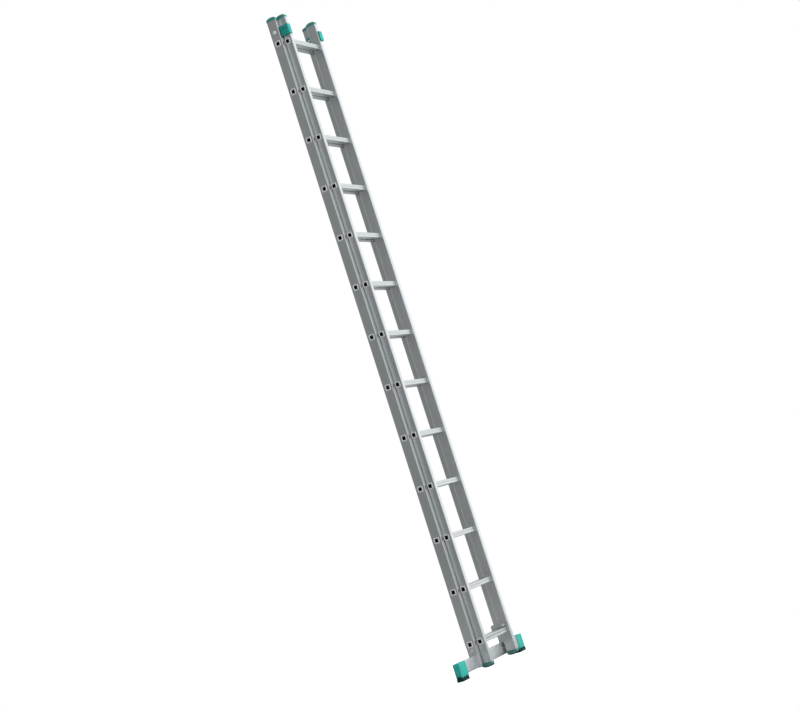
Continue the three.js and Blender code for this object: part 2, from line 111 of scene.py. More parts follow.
# %% Studio light
DIM_SIDE = Vector((-0.866, 0.48, 0.14))
DIM_EDGES = (0.45, 0.94)
SKY_BRIGHT, SKY_DIM = 0.95, 0.27
SKY_TINT = (0.96, 0.985, 1.0)
CARD_SIDE = Vector((0.855, -0.475, 0.2))
CARD_EDGES = (0.62, 0.93)
CARD_GAIN = 0.33
GROUND_EDGES = (-0.34, -0.06)
GROUND_SHARE = 0.65

world = bpy.data.worlds.new("studio")
world.use_nodes = True
bpy.context.scene.world = world
sky = world.node_tree
sky.nodes.clear()
direction = sky.nodes.new("ShaderNodeTexCoord").outputs["Generated"]


def fade(value, edges, first, last):
    """A smooth change from one level to another, as a value goes from edge to edge."""
    node = sky.nodes.new("ShaderNodeMapRange")
    node.interpolation_type = "SMOOTHSTEP"
    node.inputs["From Min"].default_value, node.inputs["From Max"].default_value = edges
    node.inputs["To Min"].default_value, node.inputs["To Max"].default_value = first, last
    sky.links.new(value, node.inputs["Value"])
    return node.outputs["Result"]


def nearness_to(side):
    """How nearly a direction in the sky points to a side, up to 1."""
    node = sky.nodes.new("ShaderNodeVectorMath")
    node.operation = "DOT_PRODUCT"
    node.inputs[1].default_value = side
    sky.links.new(direction, node.inputs[0])
    return node.outputs["Value"]


def sum_or_product(operation, first, second):
    """Two levels added up or multiplied: the operation is ADD or MULTIPLY."""
    node = sky.nodes.new("ShaderNodeMath")
    node.operation = operation
    sky.links.new(first, node.inputs[0])
    sky.links.new(second, node.inputs[1])
    return node.outputs["Value"]


height = sky.nodes.new("ShaderNodeSeparateXYZ")
sky.links.new(direction, height.inputs["Vector"])
open_sky = fade(nearness_to(DIM_SIDE), DIM_EDGES, SKY_BRIGHT, SKY_DIM)
card = fade(nearness_to(CARD_SIDE), CARD_EDGES, 0.0, CARD_GAIN)
ground = fade(height.outputs["Z"], GROUND_EDGES, GROUND_SHARE, 1.0)
level = sum_or_product("MULTIPLY", sum_or_product("ADD", open_sky, card), ground)
lighting = sky.nodes.new("ShaderNodeBackground")
lighting.inputs["Color"].default_value = (*SKY_TINT, 1)
sky.links.new(level, lighting.inputs["Strength"])
backdrop = sky.nodes.new("ShaderNodeBackground")
backdrop.inputs["Color"].default_value = (1, 1, 1, 1)
backdrop.inputs["Strength"].default_value = 1.0
ray = sky.nodes.new("ShaderNodeLightPath")
seen = sky.nodes.new("ShaderNodeMixShader")
sky.links.new(ray.outputs["Is Camera Ray"], seen.inputs["Fac"])
sky.links.new(lighting.outputs["Background"], seen.inputs[1])
sky.links.new(backdrop.outputs["Background"], seen.inputs[2])
sky_out = sky.nodes.new("ShaderNodeOutputWorld")
sky.links.new(seen.outputs["Shader"], sky_out.inputs["Surface"])


def add_soft_light(name, place, size, power):
    """A square lamp that looks at the middle of the ladder, and that metal doesn't mirror."""
    bpy.ops.object.light_add(type="AREA", location=place)
    lamp = bpy.context.object
    lamp.name = name
    lamp.data.size = size
    lamp.data.energy = power
    lamp.rotation_mode = "QUATERNION"
    lamp.rotation_quaternion = (lamp.location - AIM).to_track_quat("Z", "Y")
    lamp.visible_glossy = False


add_soft_light("key_light", (0.6, -5.0, 4.5), size=3.0, power=180)
bpy.context.scene.view_settings.view_transform = "Standard"
print("studio sky from", SKY_DIM, "to", SKY_BRIGHT)

# %% [markdown]
# The floor is a plain white sheet that meets the white behind it without a line. It glows only
# for what the camera sees directly. To the metal's reflections it is a quiet grey, and it is
# small, so that the stiles don't grow pale towards their feet.

# %% Floor
FLOOR_SIZE = 3.2
FLOOR_GREY = (0.42, 0.42, 0.42)
bpy.ops.object.select_all(action="DESELECT")
bpy.ops.mesh.primitive_plane_add(size=FLOOR_SIZE, location=(0, 0, 0))
floor = bpy.context.object
floor.name = "floor"
floor_white = bpy.data.materials.new("floor_white")
floor_white.use_nodes = True
floor_shader = floor_white.node_tree.nodes["Principled BSDF"]
floor_shader.inputs["Base Color"].default_value = (*FLOOR_GREY, 1)
floor_shader.inputs["Roughness"].default_value = 0.9
floor_shader.inputs["Emission Color"].default_value = (1, 1, 1, 1)
seen_directly = floor_white.node_tree.nodes.new("ShaderNodeLightPath")
floor_white.node_tree.links.new(seen_directly.outputs["Is Camera Ray"],
                                floor_shader.inputs["Emission Strength"])
floor.data.materials.append(floor_white)
print("floor:", FLOOR_SIZE, "m square")

# %% [markdown]
# Every finish is made from nodes. A short helper starts a material and another adds a node, so
# that each finish below reads as a list of what the real surface shows. The patterns use Object
# coordinates, which are metres here, so a noise scale of 400 has features of about 2.5 mm.

# %% Helpers for materials
def start_material(name, base_color, roughness, metallic=0.0):
    """Returns a new material and its Principled shader node."""
    material = bpy.data.materials.new(name)
    material.use_nodes = True
    shader = material.node_tree.nodes["Principled BSDF"]
    shader.inputs["Base Color"].default_value = (*base_color, 1)
    shader.inputs["Roughness"].default_value = roughness
    shader.inputs["Metallic"].default_value = metallic
    return material, shader


def add_node(material, kind, **settings):
    """Adds one node. A setting names an input socket, or else a property of the node."""
    node = material.node_tree.nodes.new(kind)
    for name, value in settings.items():
        socket = name.replace("_", " ").title()
        if socket in node.inputs:
            node.inputs[socket].default_value = value
        else:
            setattr(node, name, value)
    return node


def wire(material, source, target):
    material.node_tree.links.new(source, target)


def noise_on(material, scale, stretch=(1, 1, 1), detail=4.0, roughness=0.5):
    """A noise pattern on the piece's own coordinates, and its output socket."""
    place = add_node(material, "ShaderNodeTexCoord")
    mapping = add_node(material, "ShaderNodeMapping", scale=stretch)
    noise = add_node(material, "ShaderNodeTexNoise",
                     scale=scale, detail=detail, roughness=roughness)
    wire(material, place.outputs["Object"], mapping.inputs["Vector"])
    wire(material, mapping.outputs["Vector"], noise.inputs["Vector"])
    return noise.outputs["Fac"]


def range_of(material, value, from_range, to_range):
    """Maps a value from one range onto another, and returns the result's socket."""
    node = add_node(material, "ShaderNodeMapRange")
    wire(material, value, node.inputs["Value"])
    node.inputs["From Min"].default_value, node.inputs["From Max"].default_value = from_range
    node.inputs["To Min"].default_value, node.inputs["To Max"].default_value = to_range
    return node.outputs["Result"]


def blend_colors(material, factor, color_a, color_b):
    """Mixes two colours, each a colour or a socket, by a factor socket."""
    node = material.node_tree.nodes.new("ShaderNodeMix")
    node.data_type = "RGBA"
    wire(material, factor, node.inputs[0])
    for socket, color in ((node.inputs[6], color_a), (node.inputs[7], color_b)):
        if isinstance(color, bpy.types.NodeSocket):
            wire(material, color, socket)
        else:
            socket.default_value = (*color, 1)
    return node.outputs[2]


def bump_from(material, shader, height, strength, distance, normal=None):
    """Turns a height pattern into bump on the shader, on top of another bump if given."""
    bump = add_node(material, "ShaderNodeBump", strength=strength, distance=distance)
    wire(material, height, bump.inputs["Height"])
    if normal is not None:
        wire(material, normal, bump.inputs["Normal"])
    wire(material, bump.outputs["Normal"], shader.inputs["Normal"])
    return bump.outputs["Normal"]


# %% [markdown]
# Extruded aluminium carries fine lines along the way it was drawn through the die. A noise
# pattern pulled out along that direction makes them, in the bump, in the roughness and a little
# in the tone. Faint cloudy patches are the natural oxide, and sparse long scratches are wear.

# %% Drawn aluminium
def drawn_aluminium(name, bright, dull, roughness, along):
    """Aluminium with drawing lines along axis 0, 1 or 2."""
    material, shader = start_material(name, bright, roughness, metallic=1.0)
    line_stretch = [1.0, 1.0, 1.0]
    line_stretch[along] = 0.004
    lines = noise_on(material, 900, line_stretch, detail=3)
    broad_lines = noise_on(material, 210, line_stretch, detail=2)
    clouds = noise_on(material, 7, detail=5, roughness=0.6)
    grain = noise_on(material, 2600, detail=2)
    scratch_stretch = [1.0, 1.0, 1.0]
    scratch_stretch[along] = 0.03
    scratches = noise_on(material, 330, scratch_stretch, detail=1)
    scratched = range_of(material, scratches, (0.70, 0.74), (0.0, 1.0))

    oxide = range_of(material, clouds, (0.35, 0.7), (0.0, 1.0))
    tone = blend_colors(material, oxide, bright, dull)
    streak = range_of(material, broad_lines, (0.35, 0.65), (0.0, 0.5))
    streaked = blend_colors(material, streak, tone, tuple(c * 0.90 for c in bright))
    worn = blend_colors(material, scratched, streaked, tuple(min(1.0, c * 1.12) for c in bright))
    wire(material, worn, shader.inputs["Base Color"])

    lined = range_of(material, lines, (0.3, 0.7), (roughness - 0.05, roughness + 0.07))
    wire(material, lined, shader.inputs["Roughness"])
    coarse = bump_from(material, shader, lines, strength=0.22, distance=0.00012)
    bump_from(material, shader, grain, strength=0.06, distance=0.00004, normal=coarse)
    return material


stile_aluminium = drawn_aluminium(
    "stile_aluminium", (0.70, 0.72, 0.725), (0.64, 0.665, 0.67), roughness=0.34, along=2)
rung_aluminium = drawn_aluminium(
    "rung_aluminium", (0.64, 0.66, 0.665), (0.59, 0.615, 0.62), roughness=0.38, along=0)
bar_aluminium = drawn_aluminium(
    "bar_aluminium", (0.86, 0.875, 0.88), (0.80, 0.815, 0.82), roughness=0.42, along=0)
hook_aluminium = drawn_aluminium(
    "hook_aluminium", (0.68, 0.70, 0.70), (0.58, 0.60, 0.60), roughness=0.45, along=1)
print("drawn aluminium finishes made")

# %% [markdown]
# The rims at the rung ends are flared. A paler, partly metallic copy of the rung metal paints
# the highlights that their curved flare catches, and a fine noise frosts it.
# Inside the open ends the light hardly reaches, so the bore gets a rough, nearly black finish:
# painted shade. The frame has no finish of its own for these two, because they are only on
# some faces of a rung.

# %% Rims and bore of the rungs
# A paler, more diffuse copy of the rung metal: painted highlight on the rims.
rim_painted_highlight, rim_shader = start_material("rim_painted_highlight", (0.92, 0.93, 0.93), 0.5, metallic=0.7)
rim_frost = noise_on(rim_painted_highlight, 500, detail=4)
rim_highlight_tone = blend_colors(rim_painted_highlight, rim_frost, (0.84, 0.855, 0.86), (0.96, 0.965, 0.97))
wire(rim_painted_highlight, rim_highlight_tone, rim_shader.inputs["Base Color"])
rim_gloss = range_of(rim_painted_highlight, rim_frost, (0.3, 0.7), (0.44, 0.56))
wire(rim_painted_highlight, rim_gloss, rim_shader.inputs["Roughness"])
bump_from(rim_painted_highlight, rim_shader, rim_frost, strength=0.12, distance=0.0001)

# Nearly black finish inside the bore: painted shade where little light gets in.
painted_shade_bore, bore_shader = start_material("painted_shade_bore", (0.012, 0.013, 0.014), 0.85)
bore_shade_noise = noise_on(painted_shade_bore, 60, detail=3)
bore_shade_tone = blend_colors(painted_shade_bore, bore_shade_noise, (0.006, 0.006, 0.007), (0.022, 0.023, 0.025))
wire(painted_shade_bore, bore_shade_tone, bore_shader.inputs["Base Color"])
bump_from(painted_shade_bore, bore_shader, bore_shade_noise, strength=0.1, distance=0.0002)
print("rim and bore finishes made")

# %% [markdown]
# The fasteners are zinc-plated steel: paler and smoother than the aluminium, with a very slight
# waviness from the plating. Zinc has a thin chalky bloom, so the finish is only partly metallic.

# %% Plated steel
plain_steel, steel_shader = start_material("plain_steel", (0.92, 0.93, 0.94), 0.3, metallic=0.35)
plating = noise_on(plain_steel, 420, detail=3)
zinc_gloss = range_of(plain_steel, plating, (0.3, 0.7), (0.22, 0.36))
wire(plain_steel, zinc_gloss, steel_shader.inputs["Roughness"])
zinc_tone = blend_colors(plain_steel, plating, (0.88, 0.89, 0.90), (0.97, 0.975, 0.975))
wire(plain_steel, zinc_tone, steel_shader.inputs["Base Color"])
bump_from(plain_steel, steel_shader, plating, strength=0.08, distance=0.0001)
print("plated steel made")

# %% [markdown]
# The caps, guides and feet are moulded plastic. A mould leaves an even, fine eggshell grain, so
# the bump is a small-scale noise. The colour drifts very slightly, as pigment does, and it is
# paler where the surface is scuffed. The bar's caps are a bright teal and the guides a deeper
# one. The stile caps and the fly's feet are of a greyer, duller mix.

# %% Moulded plastic
def moulded_plastic(name, color, roughness, shine=0.45):
    """A coloured plastic with moulding grain, pigment drift and light scuffs."""
    material, shader = start_material(name, color, roughness)
    eggshell = noise_on(material, 1500, detail=2)
    drift = noise_on(material, 25, detail=4)
    scuffs = noise_on(material, 90, stretch=(1.0, 1.0, 3.0), detail=6, roughness=0.65)
    darker = tuple(c * 0.86 for c in color)
    lighter = tuple(min(1.0, c * 1.12 + 0.004) for c in color)
    drifted = range_of(material, drift, (0.35, 0.65), (0, 1))
    pigment = blend_colors(material, drifted, darker, lighter)
    scuffed = range_of(material, scuffs, (0.62, 0.75), (0.0, 0.35))
    pale = tuple(c * 0.75 + 0.12 for c in color)
    wire(material, blend_colors(material, scuffed, pigment, pale), shader.inputs["Base Color"])
    wire(material, range_of(material, drift, (0.3, 0.7), (roughness - 0.05, roughness + 0.08)),
         shader.inputs["Roughness"])
    bump_from(material, shader, eggshell, strength=0.25, distance=0.00008)
    shader.inputs["Specular IOR Level"].default_value = shine
    return material


teal_plastic = moulded_plastic("teal_plastic", (0.022, 0.45, 0.375), 0.42)
dark_teal_plastic = moulded_plastic("dark_teal_plastic", (0.009, 0.35, 0.31), 0.46, shine=0.35)
foot_plastic = moulded_plastic("foot_plastic", (0.07, 0.24, 0.22), 0.55)
cap_plastic = moulded_plastic("cap_plastic", (0.045, 0.29, 0.255), 0.5)
print("moulded plastics made")

# %% [markdown]
# The soles are rubber: nearly black with a trace of the green of the caps, very rough, with
# a coarser grain and a little pale dust in the low places.

# %% Sole rubber
sole_rubber, rubber_shader = start_material("sole_rubber", (0.006, 0.026, 0.024), 0.8)
crumb = noise_on(sole_rubber, 700, detail=5)
dust = noise_on(sole_rubber, 55, detail=6, roughness=0.7)
dusty = range_of(sole_rubber, dust, (0.58, 0.75), (0.0, 0.3))
wire(sole_rubber, blend_colors(sole_rubber, dusty, (0.008, 0.042, 0.039), (0.05, 0.085, 0.08)),
     rubber_shader.inputs["Base Color"])
bump_from(sole_rubber, rubber_shader, crumb, strength=0.35, distance=0.0002)
rubber_shader.inputs["Specular IOR Level"].default_value = 0.25
print("sole rubber made")

# %% [markdown]
# The frame names a finish for each of its nodes, and its plain solids are given it too. A node
# that had no finer piece in its place would then still show the right finish.

# %% Finishes on the frame
FINISH_OF = {
    "stile_aluminium": stile_aluminium,
    "rung_aluminium": rung_aluminium,
    "bar_aluminium": bar_aluminium,
    "hook_aluminium": hook_aluminium,
    "plain_steel": plain_steel,
    "teal_plastic": teal_plastic,
    "dark_teal_plastic": dark_teal_plastic,
    "sole_rubber": sole_rubber,
}
for node_name, cad_node in frame["nodes"].items():
    cad_node.data.materials.clear()
    cad_node.data.materials.append(FINISH_OF[SLOT_OF[node_name]])
print(len(FINISH_OF), "finishes on", len(frame["nodes"]), "frame nodes")

# %% [markdown]
# Pieces are modelled as by hand: a primitive is added at its size and place, faces or edges are
# picked, and an operator changes them. An operator works on everything that is selected, so the
# helpers below always deselect first, and pick only what a test on place or normal chooses.

# %% Helpers that add shapes
PAST = 1 * MM    # how far one shape reaches past another, where they are cut or joined


def only(piece):
    """Makes one object the selected and active one."""
    bpy.ops.object.select_all(action="DESELECT")
    piece.select_set(True)
    bpy.context.view_layer.objects.active = piece


def middle_of(node):
    """The middle of a frame node's box, as three plain numbers."""
    return [(a + b) / 2 for a, b in zip(*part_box(node))]


def add_block(low, high):
    """A cube stretched to fill the box from low to high, with its place in its mesh."""
    bpy.ops.object.select_all(action="DESELECT")
    middle = [(a + b) / 2 for a, b in zip(low, high)]
    size = [abs(b - a) for a, b in zip(low, high)]
    bpy.ops.mesh.primitive_cube_add(size=1, location=middle, scale=size)
    bpy.ops.object.transform_apply(location=True, rotation=True, scale=True)
    return bpy.context.object


def add_rod(radius, start, end, sides=48):
    """A cylinder from one point to another, which lie along X, Y or Z of each other."""
    bpy.ops.object.select_all(action="DESELECT")
    start, end = Vector(start), Vector(end)
    turn = (end - start).to_track_quat("Z", "Y").to_euler()
    bpy.ops.mesh.primitive_cylinder_add(vertices=sides, radius=radius, depth=(end - start).length,
                                        location=(start + end) / 2, rotation=turn)
    bpy.ops.object.transform_apply(location=True, rotation=True, scale=True)
    return bpy.context.object


# %% [markdown]
# Faces and edges are picked by a test, where a person would click on them. The piece is left in
# edit mode with just those selected, for the operator that comes next.

# %% Helpers that pick
def pick_faces(piece, test):
    """Opens edit mode with just the faces selected for which test(centre, normal) is true."""
    only(piece)
    bpy.ops.object.mode_set(mode="EDIT")
    bpy.ops.mesh.select_mode(type="FACE")
    bpy.ops.mesh.select_all(action="DESELECT")
    bpy.ops.object.mode_set(mode="OBJECT")
    for face in piece.data.polygons:
        face.select = bool(test(face.center, face.normal))
    bpy.ops.object.mode_set(mode="EDIT")


def pick_edges(piece, test):
    """Opens edit mode with just the edges selected for which test(end, other_end) is true."""
    only(piece)
    bpy.ops.object.mode_set(mode="EDIT")
    bpy.ops.mesh.select_mode(type="EDGE")
    bpy.ops.mesh.select_all(action="DESELECT")
    bpy.ops.object.mode_set(mode="OBJECT")
    points = piece.data.vertices
    for edge in piece.data.edges:
        edge.select = bool(test(points[edge.vertices[0]].co, points[edge.vertices[1]].co))
    bpy.ops.object.mode_set(mode="EDIT")


def done_editing():
    bpy.ops.object.mode_set(mode="OBJECT")


def runs_along(axis):
    """A test for edges that run along one axis."""
    def test(a, b):
        span = b - a
        return abs(span[axis]) > 0.9 * span.length
    return test


# %% [markdown]
# Other changes take the whole mesh: a cut by planes, a boolean with another shape, or a bevel of
# every sharp edge. Modifiers are applied at once, so that each piece ends as a plain mesh.

# %% Helpers that cut, join and round
def slice_at(piece, axis, places):
    """Cuts the whole mesh by planes across an axis, without parting it."""
    only(piece)
    bpy.ops.object.mode_set(mode="EDIT")
    normal = [0, 0, 0]
    normal[axis] = 1
    for place in places:
        bpy.ops.mesh.select_all(action="SELECT")
        point = [0, 0, 0]
        point[axis] = place
        bpy.ops.mesh.bisect(plane_co=point, plane_no=normal)
    done_editing()


def use_modifier(piece, kind, **settings):
    """Adds a modifier and applies it."""
    only(piece)
    modifier = piece.modifiers.new(kind.lower(), kind)
    for name, value in settings.items():
        setattr(modifier, name, value)
    bpy.ops.object.modifier_apply(modifier=modifier.name)


def combine(piece, other, operation):
    """Joins another object to a piece or cuts it away, and removes the other object."""
    use_modifier(piece, "BOOLEAN", operation=operation, object=other, solver="EXACT")
    bpy.data.objects.remove(other)


def soften(piece, width, segments=3, angle=35):
    """Rounds every edge that is sharper than the angle."""
    use_modifier(piece, "BEVEL", width=width, segments=segments, limit_method="ANGLE",
                 angle_limit=math.radians(angle), use_clamp_overlap=True, miter_outer="MITER_ARC")


def face_outwards(piece):
    """Turns every face of a closed piece to point out."""
    only(piece)
    bpy.ops.object.mode_set(mode="EDIT")
    bpy.ops.mesh.select_all(action="SELECT")
    bpy.ops.mesh.normals_make_consistent(inside=False)
    done_editing()


# %% [markdown]
# Stiles, caps, guides, soles and feet are modelled on one side and mirrored. A finished piece
# is tied to the frame: it rides on a body and takes a node's place.

# %% Helpers that finish a piece
def copy_of(piece):
    """A copy with its own mesh."""
    twin = piece.copy()
    twin.data = piece.data.copy()
    bpy.context.collection.objects.link(twin)
    return twin


def mirrored(piece):
    """A copy on the other side of the ladder's middle plane, with its faces still pointing out."""
    twin = copy_of(piece)
    only(twin)
    bpy.ops.object.mode_set(mode="EDIT")
    bpy.ops.mesh.select_all(action="SELECT")
    bpy.ops.transform.resize(value=(-1, 1, 1), center_override=(0, 0, 0))
    bpy.ops.mesh.flip_normals()
    done_editing()
    return twin


def stands_for(piece, node, smooth_angle=32):
    """Names and shades a piece, gives it the node's finish if it has none, and hands it the node's
    body and place.
    """
    piece.name = "fine_" + node
    piece.data.name = piece.name
    only(piece)
    bpy.ops.object.shade_smooth_by_angle(angle=math.radians(smooth_angle))
    if not piece.data.materials:
        piece.data.materials.append(FINISH_OF[SLOT_OF[node]])
    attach(piece, BODY_OF[node])
    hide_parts(node)


def stands_for_pair(piece, stem, modelled="left"):
    """Hands a piece, and its mirror image, the places of the left and right nodes of a pair."""
    other = "right" if modelled == "left" else "left"
    stands_for(mirrored(piece), f"{stem}_{other}")
    stands_for(piece, f"{stem}_{modelled}")


# %% [markdown]
# A rung is a square aluminium tube. Its upper and lower faces are ribbed for grip, and its
# front and rear faces have one groove. The block is sliced lengthwise, the strips between the
# cuts are pushed in, and a bore is cut through. Last, each end is flared over the stile, which
# is what holds a rung in place: a rounded square rim with the dark bore in the middle.

# %% One rung
RUNG_HALF = 14 * MM
RUNG_CORNER = 3 * MM
GROOVE_WIDTH = 1.7 * MM
GROOVE_DEPTH = 1.0 * MM
TREAD_GROOVES = [place * MM for place in (-8.4, -4.2, 0, 4.2, 8.4)]
FACE_GROOVES = [-1.5 * MM]
BORE_HALF = 10 * MM
BORE_CORNER = 2.5 * MM
RIM_THICKNESS = 2.1 * MM
RIM_CORNER = 6 * MM
RIM_FACE = 4 * MM
RIM_ROUNDING = 0.46          # of the rim's width, on each side of its middle
RIM_OVERHANG = 0.2 * MM      # of the rim, inside the bore
RIM_SINK = 0.4 * MM          # of the tube's end into its rim


def push_in(piece, faces, depth):
    """Extrudes the picked faces inwards by a depth."""
    pick_faces(piece, faces)
    bpy.ops.mesh.extrude_region_shrink_fatten(TRANSFORM_OT_shrink_fatten={"value": -depth})
    done_editing()


def recap_ends(piece, axis):
    """Removes whatever faces look along an axis, and closes each end with one new face."""
    pick_faces(piece, lambda centre, normal: abs(normal[axis]) > 0.99)
    bpy.ops.mesh.delete(type="FACE")
    bpy.ops.mesh.select_mode(type="EDGE")
    bpy.ops.mesh.select_all(action="DESELECT")
    bpy.ops.mesh.select_non_manifold()
    bpy.ops.mesh.fill_holes(sides=0)
    done_editing()
    face_outwards(piece)


def rounded_rod(low, high, axis, corner, segments=5):
    """A block whose edges along one axis are rounded."""
    rod = add_block(low, high)
    pick_edges(rod, runs_along(axis))
    bpy.ops.mesh.bevel(offset=corner, offset_type="OFFSET", segments=segments, affect="EDGES")
    done_editing()
    return rod


def model_rim(middle, half, back_x, outwards):
    """A rounded square ring across X, half-round in section and squashed to the rim's thickness.

    Its two faces are inset, drawn in to the bore and bridged, which makes the hole. Bevels of
    nearly half the ring's width then round its face over.
    """
    width = half - BORE_HALF + RIM_OVERHANG
    face_x = back_x + outwards * width / 2
    rim = rounded_rod((min(back_x, face_x), middle.y - half, middle.z - half),
                      (max(back_x, face_x), middle.y + half, middle.z + half),
                      0, RIM_CORNER, segments=6)
    pick_faces(rim, lambda centre, normal: abs(normal.x) > 0.99)
    bpy.ops.mesh.inset(thickness=RIM_FACE, use_boundary=True)
    shrink = (half - width) / (half - RIM_FACE)
    bpy.ops.transform.resize(value=(1, shrink, shrink), center_override=middle)
    bpy.ops.mesh.bridge_edge_loops()
    done_editing()
    face_outwards(rim)
    between = half - width / 2

    def on_the_face_and_round_it(a, b):
        reach = [max(abs(end.y - middle.y), abs(end.z - middle.z)) for end in (a, b)]
        on_the_face = all(abs(end.x - face_x) < 1e-6 for end in (a, b))
        return on_the_face and (max(reach) < between or min(reach) > between)

    pick_edges(rim, on_the_face_and_round_it)
    bpy.ops.mesh.bevel(offset=width * RIM_ROUNDING, offset_type="OFFSET", segments=6,
                       affect="EDGES")
    bpy.ops.mesh.select_all(action="SELECT")
    squash = RIM_THICKNESS / (width / 2)
    bpy.ops.transform.resize(value=(squash, 1, 1), center_override=(back_x, 0, 0))
    done_editing()
    return rim


def model_rung(node):
    low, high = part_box(node)
    _, y, z = middle_of(node)
    inside = RIM_THICKNESS - RIM_SINK
    rung = rounded_rod((low.x + inside, y - RUNG_HALF, z - RUNG_HALF),
                       (high.x - inside, y + RUNG_HALF, z + RUNG_HALF), 0, RUNG_CORNER)
    half = GROOVE_WIDTH / 2
    slice_at(rung, 1, [y + place + side * half for place in TREAD_GROOVES for side in (-1, 1)])
    slice_at(rung, 2, [z + place + side * half for place in FACE_GROOVES for side in (-1, 1)])
    push_in(rung, lambda centre, normal: abs(normal.z) > 0.99
            and any(abs(centre.y - y - place) < half for place in TREAD_GROOVES), GROOVE_DEPTH)
    push_in(rung, lambda centre, normal: abs(normal.y) > 0.99
            and any(abs(centre.z - z - place) < half for place in FACE_GROOVES), GROOVE_DEPTH)
    recap_ends(rung, 0)
    soften(rung, 0.25 * MM, segments=2, angle=50)
    bore = rounded_rod((low.x - PAST, y - BORE_HALF, z - BORE_HALF),
                       (high.x + PAST, y + BORE_HALF, z + BORE_HALF), 0, BORE_CORNER)
    combine(rung, bore, "DIFFERENCE")
    for outwards in (-1, 1):
        face_x = high.x if outwards > 0 else low.x
        back_x = face_x - outwards * RIM_THICKNESS
        rim = model_rim(Vector((0, y, z)), (high.y - low.y) / 2, back_x, outwards)
        combine(rung, rim, "UNION")
    rung.data.materials.clear()
    for finish in (rung_aluminium, painted_shade_bore, rim_painted_highlight):
        rung.data.materials.append(finish)
    # Faces in the bore get the painted shade finish, and faces of the rims the paler finish that
    # paints highlights.
    for face in rung.data.polygons:
        off_centre = max(abs(face.center.y - y), abs(face.center.z - z))
        in_rim = face.center.x < low.x + RIM_THICKNESS or face.center.x > high.x - RIM_THICKNESS
        if off_centre < BORE_HALF + RIM_OVERHANG / 2 and abs(face.normal.x) < 0.5:
            face.material_index = 1
        else:
            face.material_index = 2 if in_rim else 0
    return rung


# %% [markdown]
# All the rungs of a section are alike, so one is modelled and the rest are copies of it, each
# moved to its own place. The rungs of the sliding section are shorter, so they get a pattern of
# their own.

# %% All the rungs
rung_count = sum(1 for node in BODY_OF if node.startswith("base_rung_"))
for section in ("base", "fly"):
    first = f"{section}_rung_01"
    pattern = model_rung(first)
    first_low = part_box(first)[0]
    for number in range(2, rung_count + 1):
        node = f"{section}_rung_{number:02d}"
        rung = copy_of(pattern)
        only(rung)
        bpy.ops.transform.translate(value=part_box(node)[0] - first_low)
        bpy.ops.object.transform_apply(location=True, rotation=False, scale=False)
        stands_for(rung, node)
    stands_for(pattern, first)
    print(section, "rungs:", rung_count, "with", len(pattern.data.polygons), "faces each")

# %% [markdown]
# A stile is a hollow extrusion, a rounded rectangle with a shallow recess down each side, so
# that the flared rung ends sit a little below the edges and don't snag. It starts as a solid
# block. Its ends are opened, Solidify gives it a wall, and the rung holes are cut through.

# %% Stiles
STILE_CORNER = 3.5 * MM
STILE_WALL = 1.8 * MM
RECESS_HALF = 20 * MM
RECESS_DEPTH = 0.3 * MM
HOLE_GAP = 0.3 * MM
BOLT_HOLE = 4.3 * MM
RIVET_HOLE = 2.8 * MM


def open_tube(piece, axis, wall):
    """Takes the end faces off a closed profile and gives it a wall, measured inwards."""
    pick_faces(piece, lambda centre, normal: abs(normal[axis]) > 0.99)
    bpy.ops.mesh.delete(type="FACE")
    done_editing()
    use_modifier(piece, "SOLIDIFY", thickness=wall, offset=-1, use_even_offset=True)


def cut_rung_holes(stile, section):
    low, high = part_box(f"{section}_stile_left")
    half = RUNG_HALF + HOLE_GAP
    cutters = []
    for number in range(1, rung_count + 1):
        _, y, z = middle_of(f"{section}_rung_{number:02d}")
        cutters.append(add_block((low.x - PAST, y - half, z - half),
                                 (high.x + PAST, y + half, z + half)))
    only(cutters[0])
    for cutter in cutters:
        cutter.select_set(True)
    bpy.ops.object.join()
    combine(stile, cutters[0], "DIFFERENCE")


def model_stile(section):
    low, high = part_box(f"{section}_stile_left")
    middle = (low.y + high.y) / 2
    stile = rounded_rod(low, high, 2, STILE_CORNER, segments=6)
    slice_at(stile, 1, [middle - RECESS_HALF, middle + RECESS_HALF])
    push_in(stile, lambda centre, normal: abs(normal.x) > 0.99
            and abs(centre.y - middle) < RECESS_HALF, RECESS_DEPTH)
    open_tube(stile, 2, STILE_WALL)
    cut_rung_holes(stile, section)
    return stile


def notch_for_bar(stile):
    """Cuts away the rear of the stile's foot, where the stabilizer bar lies."""
    low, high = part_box("base_stile_left")
    bar_low, bar_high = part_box("stabilizer_bar")
    notch = add_block((low.x - PAST, bar_low.y - HOLE_GAP, low.z - PAST),
                      (high.x + PAST, high.y + PAST, bar_high.z + HOLE_GAP))
    combine(stile, notch, "DIFFERENCE")


def drill_for_fasteners(stile):
    """Drills the base's stile for the bolt of its guide and the rivet of its foot."""
    low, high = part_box("base_stile_left")
    for node, radius in (("guide_bolt_left", BOLT_HOLE), ("anchor_rivet_left", RIVET_HOLE)):
        _, y, z = middle_of(node)
        drill = add_rod(radius, (low.x - PAST, y, z), (high.x + PAST, y, z), sides=32)
        combine(stile, drill, "DIFFERENCE")


for section in ("base", "fly"):
    left_stile = model_stile(section)
    if section == "base":
        notch_for_bar(left_stile)
        drill_for_fasteners(left_stile)
    stands_for_pair(left_stile, f"{section}_stile")
    print(section, "stile:", len(left_stile.data.polygons), "faces")

# %% [markdown]
# The end caps are plastic plugs with an arched head. The arch is half of a flattened cylinder
# that lies across the ladder: it is squashed to its height, cut off flat by a plane, and its new
# flat face is drawn down for the straight edge. A plug below it fills the stile.

